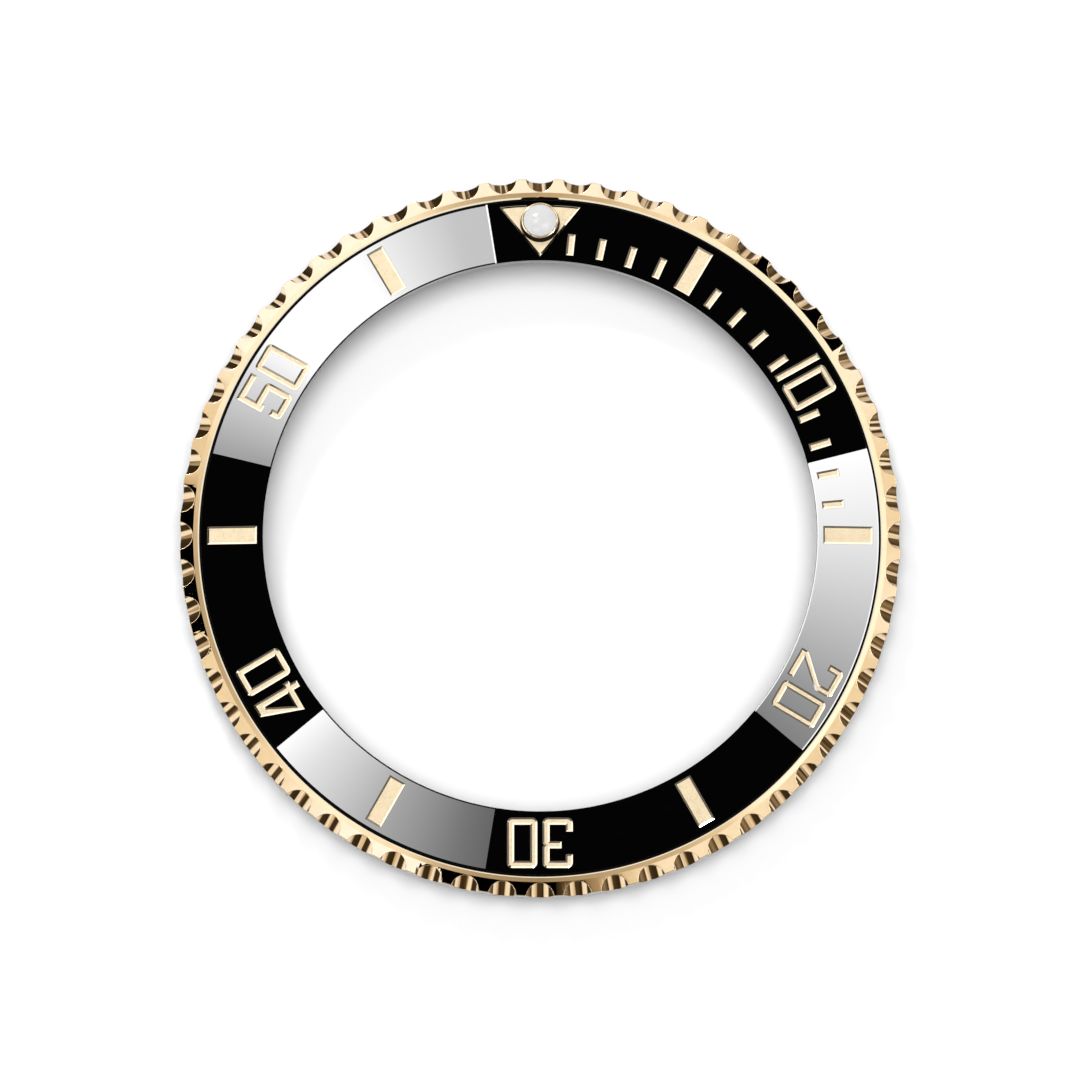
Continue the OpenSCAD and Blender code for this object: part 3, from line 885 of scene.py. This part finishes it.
def make_mark(outline, node, floor, side, ceramic):
    """A shallow tray: a blasted floor inside gold walls and a rounded ceramic edge."""
    marks = on_bench("bezel_marks")
    insert = on_bench("bezel_insert")
    pearl = on_bench("bezel_pearl")
    edit(outline)
    bpy.ops.mesh.select_all(action="SELECT")
    bpy.ops.transform.translate(value=(0, 0, marks.fill_depth - marks.lip))
    bpy.ops.mesh.extrude_region_move(
        TRANSFORM_OT_translate={"value": (0, 0, marks.lip - insert.engraving)}
    )
    bpy.ops.mesh.select_all(action="SELECT")
    bpy.ops.mesh.normals_make_consistent(inside=False)
    choose(
        outline,
        "FACE",
        lambda f: f.normal.dot(cone_normal(insert.slope, f.calc_center_median())) > 0.9,
    )
    bpy.ops.mesh.inset(thickness=marks.collar, depth=-marks.collar_drop, use_even_offset=True)
    bpy.ops.mesh.inset(
        thickness=marks.wall, depth=marks.collar_drop - marks.sink, use_even_offset=True)
    leave()
    if node == "triangle_inlay":
        cut(outline, pearl_well(insert, pearl, pearl.foot_radius))
    paint(outline, floor, side, ceramic)
    sort_faces(outline, marks, insert)
    take(outline)
    bpy.ops.object.shade_smooth_by_angle(angle=math.radians(20))
    finish(outline, node + "_tray", "bezel", [node])


def sort_faces(tray, marks, insert):
    """Sorts a tray's faces into floor, rounded edge and walls."""
    for face in tray.data.polygons:
        rise = face.normal.dot(cone_normal(insert.slope, face.center))
        sunk = top_height(insert, face.center.xy.length) - face.center.z
        if rise > 0.95 and sunk > marks.sink * 0.7:
            face.material_index = 0
        elif sunk < marks.collar_drop and rise > 0.5:
            face.material_index = 2
        else:
            face.material_index = 1


# side is black ceramic on the capsule's outer side: painted shade and a painted reflection over the gold.
def make_pearl(gold, side, lume, glass):
    insert = on_bench("bezel_insert")
    pearl = on_bench("bezel_pearl")
    place = pearl_place(insert, pearl)
    roll = pearl.wall / 2
    cavity = pearl.rim_radius - pearl.wall
    bottom = pearl.floor - pearl.sink
    seat = pearl.rise - pearl.dome_sink

    capsule = draw("capsule", [
        (0.0, -pearl.sink), (pearl.foot_radius - roll, -pearl.sink),
        (pearl.foot_radius, roll - pearl.sink), (pearl.foot_radius, 0.0)]
        + arc((cavity + roll, pearl.rise - roll), roll, 0, 180, 12)
        + [(cavity, bottom), (0.0, bottom)])
    spin(2 * math.pi, PEARL_STEPS)

    pellet = draw("pellet", [
        (0.0, bottom), (cavity - 0.01, bottom), (cavity - 0.01, seat), (0.0, seat)])
    spin(2 * math.pi, PELLET_STEPS)

    ball = (cavity ** 2 + pearl.dome_rise ** 2) / (2 * pearl.dome_rise)
    span = math.degrees(math.asin((cavity - 0.01) / ball))
    dome = draw("dome", [(0.0, seat), (cavity - 0.01, seat)]
        + arc((0.0, pearl.rise + pearl.dome_rise - ball), ball, 90 - span, 90, 16))
    spin(2 * math.pi, PEARL_STEPS)

    for obj, name, node, slot, materials in (
        (capsule, "pearl_capsule_turned", "pearl_capsule", "gold", (gold, side)),
        (pellet, "pearl_pellet_cast", "pearl_pellet", "lume", (lume,)),
        (dome, "pearl_dome_polished", "pearl_dome", "dome", (glass,)),
    ):
        shade(obj, 35)
        paint(obj, *materials)
        if obj is capsule:
            # The gold capsule's outer side is painted black, as it looks in the photograph: painted shade
            # and a painted reflection of the black insert, not the capsule's own colour.
            for face in obj.data.polygons:
                painted_shade_flank = face.center.xy.length > cavity + roll and face.center.z < pearl.rise - roll
                face.material_index = 1 if painted_shade_flank else 0
        obj.data.transform(place)
        finish(obj, name, "bezel", [node])


def make_seat_ring(steel):
    seat = on_bench("bezel_seat")
    wire = on_bench("bezel_wire")
    reach = math.degrees(math.acos((wire.radius - seat.collar_radius) / wire.groove))
    groove = arc((wire.radius, wire.height), wire.groove, 180 - reach, 180 + reach, 8)
    corners = [
        (seat.bore + seat.bore_taper, 0.0), (seat.bore, seat.bore_taper_height),
        (seat.bore, seat.collar_height), (seat.collar_radius - seat.lead_in, seat.collar_height),
        (seat.collar_radius, seat.collar_height - seat.lead_in)]
    corners += groove
    corners += [
        (seat.collar_radius, seat.flange_height), (seat.flange_radius, seat.flange_height),
        (seat.flange_radius, seat.lead_in), (seat.flange_radius - seat.lead_in, 0.0)]
    piece = draw("seat_ring", corners)
    spin(2 * math.pi, SEAT_STEPS)
    for azimuth in (0, 90, 180, 270):
        take_nothing()
        centre = (seat.pocket_floor + seat.flange_height * 2) / 2
        high = seat.flange_height * 2 - seat.pocket_floor
        if azimuth:
            bpy.ops.mesh.primitive_cylinder_add(
                vertices=POCKET_STEPS, radius=seat.ball_pocket, depth=high)
            shift = seat.ball_shift
        else:
            bpy.ops.mesh.primitive_cube_add(size=1.0)
            bpy.context.object.data.transform(
                Matrix.Diagonal((seat.pawl_pocket_width, seat.pawl_pocket_length, high, 1)))
            shift = 0.0
        pocket = bpy.context.object
        pocket.data.transform(Matrix.Rotation(math.radians(azimuth), 4, "Z")
            @ Matrix.Translation((seat.pocket_radius, shift, centre)))
        cut(piece, pocket)
    shade(piece)
    paint(piece, steel)
    finish(piece, "seat_ring_turned", "seat", ["seat_ring"])


# Stage


def glow(level, tint=1.0):
    """A light of this level as gold shows it: pale where it is bright, deep where it is dim."""
    above = max(level - 1.0, 0.0) * tint
    below = max(1.0 - level, 0.0) * tint
    red = level * (1 - 0.32 * above + 0.1 * below)
    green = level * (1 - 0.2 * below)
    return (red, green, level * (1 + 0.8 * above - 0.58 * below))


def clock_stops(pairs, tint=1.0):
    """Stops of a ramp round the clock, from pairs of degrees and level."""
    return [(degrees / 360.0, glow(level, tint)) for degrees, level in pairs]


# What polished faces mirror: spans of the panels and softboxes in degrees round the clock,
# and pairs of degrees and level. Many of the levels were read off the photograph's land,
# insert and flutes, at turns picked one by one, and typed in here.
BOXES = ((74.9, 129.3), (189.3, 231.1), (284.3, 350.7))
BOX_EDGE = (350.7, 351.0)
PANELS = ((-1.0, 37.8), (57.6, 177.3), (198.8, 253.1), (278.0, 361.0))
# The reach from the light's axis at which each of its rings begins, and the softness of
# their edges. The axis is where a level face throws the photograph's line of sight.
RING_STARTS = (0.0, 0.17, 0.185, 0.255, 0.42, 0.455, 0.505, 0.53, 0.65)
RING_EDGE = 0.003

# The edges of the walls' light and of the strip along the horizon, as cosines of the
# angle from that axis.
WALLS_EDGE = (0.64, 0.655)
STRIP_EDGES = ((0.425, 0.43), (0.465, 0.47))

# Degrees from the lamp's direction, and from the zenith, over which their light fades in.
GLINT_EDGE = (5.5, 4.0)
ZENITH_EDGE = (20.0, 12.0)

# Degrees off a flute's deepest line over which its sides give way to its heart.
HEART_EDGE = (9.0, 5.0)

DARK = (0.0, 0.0, 0.0, 1.0)
WHITE = (1.0, 1.0, 1.0, 1.0)
SOFTBOXES = [
    (0, 0.53), (60, 1.0), (74.7, 1.0), (90, 0.8), (105, 0.55), (120, 0.31), (129.3, 0.22), (160, 0.12),
    (189.3, 0.13), (195, 0.18), (210, 0.40), (225, 0.76), (231.5, 1.0), (255, 0.3), (284.3, 0.34),
    (300, 0.74), (306, 1.0), (326, 1.0), (330, 0.87), (345, 0.55), (360, 0.53),
]
OVERHEAD = [
    (0, 1.31), (15, 1.32), (27, 1.14), (31, 0.95), (37.8, 0.35), (48, 0.9), (57, 1.33), (66, 1.26),
    (75, 1.01), (88, 1.0), (100, 1.21), (105, 1.19), (110, 0.97), (130, 0.98), (141, 1.12), (159, 1.14),
    (165, 0.9), (171, 0.39), (177, 0.02), (186, 0.6), (196, 1.42), (213, 1.42), (231, 1.0), (265, 0.95),
    (278, 0.6), (281, 0.88), (294, 0.97), (302, 1.43), (333, 1.43), (360, 1.31),
]
SIDES = [
    (0, 0.36), (12, 0.5), (18, 0.7), (22, 1.0), (33, 1.3), (39, 1.36), (45, 1.25), (51, 1.0), (60, 0.66),
    (69, 0.54), (81, 0.54), (93, 0.7), (105, 0.98), (112, 1.26), (145, 1.42), (153, 1.44), (159, 1.15),
    (165, 0.78), (172, 0.57), (178, 0.53), (190, 0.68), (201, 1.03), (210, 1.32), (240, 1.32),
    (267, 1.36), (285, 1.45), (315, 1.5), (322, 1.25), (328, 0.88), (336, 0.66), (348, 0.55), (360, 0.36),
]
KEY = [(0, 1.0), (22, 1.0), (32, 0.01), (110, 0.05), (150, 0.2), (240, 0.25), (260, 1.0), (360, 1.0)]
WALLS = [(0, 1.0), (27, 1.0), (37, 0.12), (225, 0.08), (245, 1.0), (360, 1.0)]
FLUTE_SIDES = [
    (0, 0.95), (5, 0.8), (8, 0.16), (28, 0.07), (34, 0.7), (50, 0.6), (55, 0.05), (80, 0.15), (94, 0.06),
    (97, 1.0), (103, 1.0), (106, 0.06), (122, 0.3), (142, 0.04), (146, 1.1), (158, 0.85), (165, 0.5),
    (168, 0.05), (194, 0.03), (198, 1.0), (214, 1.1), (219, 0.04), (240, 0.05), (246, 1.05), (266, 1.1),
    (272, 0.07), (300, 0.03), (334, 0.04), (343, 1.0), (360, 0.95),
]
FLUTE_HEARTS = [
    (0, 0.12), (20, 0.15), (26, 0.9), (34, 0.7), (50, 0.9), (59, 0.3), (66, 0.6), (72, 1.15), (90, 0.9),
    (100, 0.9), (108, 0.3), (114, 0.08), (134, 0.07), (140, 0.8), (158, 0.8), (165, 0.06), (192, 0.06),
    (198, 0.55), (206, 0.85), (216, 0.7), (221, 0.06), (238, 0.1), (246, 0.6), (270, 0.35), (290, 0.5),
    (306, 0.9), (318, 1.1), (327, 0.35), (336, 0.09), (342, 0.25), (349, 0.1), (360, 0.12),
]


def around(recipe, across, up):
    """The distance from the middle and the turn round the clock, from 0 to 1, of a plane's point."""
    reach = recipe.math("SQRT", recipe.math(
        "ADD", recipe.math("MULTIPLY", across, across), recipe.math("MULTIPLY", up, up)))
    turn = recipe.math("DIVIDE", recipe.math("ARCTAN2", across, up), 2 * math.pi)
    return reach, recipe.math("FRACT", turn)


def flute_cards(recipe, ray, stage):
    """What the flutes mirror: cards that stand low round the bezel, by direction.

    A mirrored ray and the photograph's line of sight give the lean of the wall between
    them, which tells a flute's heart from its sides, so the streaks run along the whole
    flute. The cards stand still, so they show like this only in the photograph's view.
    """
    ring = bpy.context.scene.bezel_ring
    flat = recipe.vector("NORMALIZE", recipe.vector("MULTIPLY", ray, (1.0, 1.0, 0.0)))
    down = stage.distance * math.cos(stage.tilt) + stage.aim_height - ring.rim_height * 0.8
    sight = recipe.vector("MULTIPLY_ADD", flat, (ring.radius, ring.radius, 0.0),
        (0.0, stage.distance * math.sin(stage.tilt), -down))
    normal = recipe.vector("NORMALIZE", recipe.vector(
        "SUBTRACT", ray, recipe.vector("NORMALIZE", sight)))
    parts = recipe.add("ShaderNodeSeparateXYZ", Vector=normal).outputs
    clock = around(recipe, parts[0], parts[1])[1]
    heart = recipe.between(parts[2], *(
        math.sin(ring.flute_lean) * math.cos(math.radians(off)) for off in HEART_EDGE))
    cards = recipe.blend(heart, recipe.ramp(clock, clock_stops(FLUTE_SIDES)),
        recipe.ramp(clock, clock_stops(FLUTE_HEARTS)))
    cards = recipe.blend(recipe.between(parts[2], 0.05, 0.12), (0.55, 0.55, 0.55, 1.0), cards)
    return recipe.blend(recipe.between(parts[2], 0.50, 0.52), cards, (0.9, 0.9, 0.9, 1.0))


def light_room(stage):
    """Lights the room by direction.

    Matt surfaces are lit softly from above. Polished ones mirror panels and softboxes
    that stand round the zenith, a key light and the lights near the horizon. Directions
    are taken from where a flat face of the bezel throws the photograph's line of sight,
    so the panels show on the bezel as in the photograph only in its own view.
    """
    world = bpy.data.worlds.new("studio")
    bpy.context.scene.world = world
    recipe = Recipe(world)
    ray = recipe.add("ShaderNodeTexCoord").outputs["Generated"]
    parts = recipe.add("ShaderNodeSeparateXYZ", Vector=ray).outputs
    reach, clock = around(recipe, parts[0], recipe.math("SUBTRACT", parts[1], math.sin(stage.tilt)))
    axis = (0.0, math.sin(stage.tilt), math.cos(stage.tilt))

    def within(spans):
        """One inside these spans of the clock, in degrees, and nothing outside them."""
        total = 0.0
        for start, end in spans:
            after = recipe.math("GREATER_THAN", clock, start / 360.0)
            before = recipe.math("LESS_THAN", clock, end / 360.0)
            total = recipe.math("MULTIPLY_ADD", after, before, total)
        return total

    boxes = recipe.math("MULTIPLY", within(BOXES), stage.softboxes)
    edge = recipe.math("MULTIPLY", within([BOX_EDGE]), stage.softboxes * 1.1)
    lines = recipe.math("MULTIPLY", within([BOXES[0], BOX_EDGE]), stage.softboxes * 1.05)
    faces = recipe.scaled(recipe.ramp(clock, clock_stops(SOFTBOXES, 0.0)), boxes)
    rings = [
        recipe.scaled(recipe.ramp(clock, clock_stops(OVERHEAD)),
            recipe.math("MULTIPLY", within(PANELS), stage.overhead)),
        DARK,
        recipe.scaled(WHITE[:3], lines),
        recipe.blend(within([BOX_EDGE]), faces, recipe.scaled(WHITE[:3], edge)),
        DARK,
        recipe.scaled(WHITE[:3], lines),
        DARK,
        recipe.scaled(recipe.ramp(clock, clock_stops(KEY, 0.0)), stage.key),
        recipe.scaled(recipe.ramp(clock, clock_stops(SIDES, 0.6)), stage.side_light),
    ]
    seen = rings[0]
    for start, ring in zip(RING_STARTS[1:], rings[1:]):
        seen = recipe.blend(recipe.between(reach, start - RING_EDGE, start + RING_EDGE), seen, ring)
    facing = recipe.vector("DOT_PRODUCT", ray, axis)
    seen = recipe.blend(recipe.between(facing, *WALLS_EDGE, 1.0, 0.0), seen,
        recipe.scaled(recipe.ramp(clock, clock_stops(WALLS, 0.0)), stage.wall_light))
    strip = recipe.math("MULTIPLY",
        recipe.between(facing, *STRIP_EDGES[0]), recipe.between(facing, *STRIP_EDGES[1], 1.0, 0.0))
    seen = recipe.blend(strip, seen, recipe.scaled(tuple(stage.horizon), stage.horizon_light))
    seen = recipe.blend(recipe.between(parts[2], -0.01, 0.01), flute_cards(recipe, ray, stage), seen)
    spot = recipe.between(recipe.vector("DOT_PRODUCT", ray, tuple(lamp_direction(stage))),
        *(math.cos(math.radians(off)) for off in GLINT_EDGE))
    seen = recipe.blend(spot, seen, recipe.scaled(WHITE[:3], stage.lamp_glint))

    zenith = tuple(Vector((0.0, 0.03, 1.0)).normalized())
    soft = recipe.between(recipe.vector("DOT_PRODUCT", ray, zenith),
        *(math.cos(math.radians(off)) for off in ZENITH_EDGE),
        stage.dome_light, stage.dome_light + stage.top_light)
    rays = recipe.add("ShaderNodeLightPath").outputs
    whole = recipe.blend(rays["Is Glossy Ray"], recipe.scaled(WHITE[:3], soft), seen)
    whole = recipe.blend(rays["Is Camera Ray"], whole, WHITE)
    backdrop = recipe.add("ShaderNodeBackground", Color=whole)
    recipe.add("ShaderNodeOutputWorld", Surface=backdrop.outputs[0])


def floor_material(stage):
    """A pale matt floor; polished surfaces look through it at the cards that stand below."""
    material, recipe = new_material("pale_floor")
    matt = recipe.add("ShaderNodeBsdfDiffuse", Color=opaque(stage.floor))
    rays = recipe.add("ShaderNodeLightPath").outputs
    eye = recipe.math("MAXIMUM", rays["Is Camera Ray"], rays["Is Transmission Ray"])
    lift = recipe.add("ShaderNodeEmission", Strength=recipe.math("MULTIPLY", eye, stage.floor_lift))
    both = recipe.add("ShaderNodeAddShader")
    recipe.give(both.inputs[0], matt.outputs[0])
    recipe.give(both.inputs[1], lift.outputs[0])
    clear = recipe.add("ShaderNodeBsdfTransparent")
    choice = recipe.add("ShaderNodeMixShader", Fac=rays["Is Glossy Ray"])
    recipe.give(choice.inputs[1], both.outputs[0])
    recipe.give(choice.inputs[2], clear.outputs[0])
    recipe.add("ShaderNodeOutputMaterial", Surface=choice.outputs[0])
    return material


def lamp_direction(stage):
    """The direction of the small lamp at the upper left."""
    across = -math.sin(stage.lamp_turn) * stage.lamp_reach
    up = math.cos(stage.lamp_turn) * stage.lamp_reach + math.sin(stage.tilt)
    return Vector((across, up, math.sqrt(1 - across ** 2 - up ** 2)))


def add_lamp(stage):
    """A small round lamp at the upper left."""
    lamp = bpy.data.lights.new("lamp", "AREA")
    lamp.shape = "DISK"
    lamp.size = 2 * stage.lamp_radius
    lamp.energy = stage.lamp * math.pi * math.pi * stage.lamp_radius ** 2
    holder = bpy.data.objects.new("lamp", lamp)
    bpy.context.scene.collection.objects.link(holder)
    toward = lamp_direction(stage)
    holder.location = toward * stage.lamp_distance
    holder.rotation_euler = toward.to_track_quat("Z", "Y").to_euler()


def make_stage():
    stage = bpy.context.scene.bezel_stage
    take_nothing()
    bpy.ops.mesh.primitive_circle_add(
        vertices=96, radius=stage.floor_radius, fill_type="NGON", location=(0, 0, -0.00001))
    floor = bpy.context.object
    floor.name = "floor"
    paint(floor, floor_material(stage))
    light_room(stage)
    add_lamp(stage)

    camera = bpy.data.cameras.new("camera")
    camera.sensor_width = 36.0
    camera.lens = camera.sensor_width * stage.distance / stage.view_width
    camera.clip_start = 0.01
    eye = bpy.data.objects.new("camera", camera)
    bpy.context.scene.collection.objects.link(eye)
    back = Vector((0, -math.sin(stage.tilt), math.cos(stage.tilt)))
    eye.location = Vector((0, 0, stage.aim_height)) + back * stage.distance
    eye.rotation_euler = (stage.tilt, 0, 0)
    bpy.context.scene.camera = eye
    bpy.context.scene.view_settings.view_transform = "Standard"
    bpy.context.scene.cycles.caustics_reflective = False


# Operators


class BEZEL_OT_ring(bpy.types.Operator):
    """Build the fluted bezel ring"""

    bl_idname = "bezel.ring"
    bl_label = "Bezel Ring"

    def execute(self, context):
        make_bezel_ring(polished_gold("polished_gold", context.scene.bezel_ring.gold))
        return {"FINISHED"}


class BEZEL_OT_insert(bpy.types.Operator):
    """Build the engraved insert and the gold in its marks"""

    bl_idname = "bezel.insert"
    bl_label = "Insert and Marks"

    def execute(self, context):
        insert = on_bench("bezel_insert")
        colours = context.scene.bezel_marks
        outlines = [triangle_outline(on_bench("bezel_marks"), insert)]
        outlines += [mark_outline(node, insert) for node in MARKS[1:]]
        ceramic = black_ceramic("black_ceramic", context.scene.bezel_insert.ceramic)
        ground = ground_ceramic("ground_ceramic", context.scene.bezel_insert.ceramic)
        make_insert(ceramic, ground, outlines)
        floor = blasted_gold("blasted_gold", colours.fill)
        side = polished_gold("wall_gold", colours.side, (0.05, 0.08))
        for outline, node in zip(outlines, MARKS):
            make_mark(outline, node, floor, side, ceramic)
        return {"FINISHED"}


class BEZEL_OT_pearl(bpy.types.Operator):
    """Build the pearl: its capsule, filling and dome"""

    bl_idname = "bezel.pearl"
    bl_label = "Pearl"

    def execute(self, context):
        colours = context.scene.bezel_pearl
        make_pearl(
            polished_gold("capsule_gold", context.scene.bezel_ring.gold),
            # Black ceramic for the gold capsule's outer side: painted shade and a painted reflection.
            ground_ceramic("capsule_painted_shade", context.scene.bezel_insert.ceramic),
            luminous_paste("luminous_paste", colours.lume),
            milky_dome("milky_dome", colours.dome),
        )
        return {"FINISHED"}


class BEZEL_OT_seat(bpy.types.Operator):
    """Build the seat ring"""

    bl_idname = "bezel.seat"
    bl_label = "Seat Ring"

    def execute(self, context):
        make_seat_ring(turned_steel("turned_steel", context.scene.bezel_seat.steel))
        return {"FINISHED"}


class BEZEL_OT_movement(bpy.types.Operator):
    """Finish the hidden click work, which keeps its CAD shapes"""

    bl_idname = "bezel.movement"
    bl_label = "Click Work"

    def execute(self, context):
        steel = context.scene.bezel_seat.steel
        toothed = turned_steel("toothed_steel", steel, pitch=0.0002)
        sprung = drawn_steel("drawn_steel", tuple(channel * 0.9 for channel in steel))
        rubber = matt_rubber("matt_rubber", (0.035, 0.035, 0.038))
        cushion = matt_rubber("cushion_film", (0.09, 0.10, 0.11), 0.00012)
        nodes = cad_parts
        finishes = {"ratchet_ring": toothed, "friction_ring": rubber, "insert_cushion": cushion}
        for name in nodes:
            if name.startswith(("click_pawl", "pawl_spring", "detent_ball", "ball_spring", "retaining")):
                finishes[name] = sprung
        for name, material in finishes.items():
            paint(nodes[name], material)
        return {"FINISHED"}


class BEZEL_OT_stage(bpy.types.Operator):
    """Build the floor, the light and the camera"""

    bl_idname = "bezel.stage"
    bl_label = "Stage"

    def execute(self, context):
        make_stage()
        return {"FINISHED"}


OPERATORS = (
    BEZEL_OT_ring,
    BEZEL_OT_insert,
    BEZEL_OT_pearl,
    BEZEL_OT_seat,
    BEZEL_OT_movement,
    BEZEL_OT_stage,
)


class BEZEL_PT_panel(bpy.types.Panel):
    """Lists the pieces of the bezel and their settings"""

    bl_idname = "BEZEL_PT_panel"
    bl_label = "Rotating Watch Bezel"
    bl_space_type = "VIEW_3D"
    bl_region_type = "UI"
    bl_category = "Bezel"

    def draw(self, context):
        for operator in OPERATORS:
            self.layout.operator(operator.bl_idname)
        for name, group in SETTINGS.items():
            box = self.layout.box()
            box.label(text=group.__name__.replace("Settings", ""))
            for key in group.__annotations__:
                box.prop(getattr(context.scene, name), key)


def register():
    for group in SETTINGS.values():
        bpy.utils.register_class(group)
    for name, group in SETTINGS.items():
        setattr(bpy.types.Scene, name, bpy.props.PointerProperty(type=group))
    for operator in OPERATORS:
        bpy.utils.register_class(operator)
    bpy.utils.register_class(BEZEL_PT_panel)


def unregister():
    bpy.utils.unregister_class(BEZEL_PT_panel)
    for operator in reversed(OPERATORS):
        bpy.utils.unregister_class(operator)
    for name, group in SETTINGS.items():
        delattr(bpy.types.Scene, name)
        bpy.utils.unregister_class(group)


def main():
    register()
    bpy.ops.bezel.ring()
    bpy.ops.bezel.insert()
    bpy.ops.bezel.pearl()
    bpy.ops.bezel.seat()
    bpy.ops.bezel.movement()
    bpy.ops.bezel.stage()


if __name__ == "__main__":
    main()
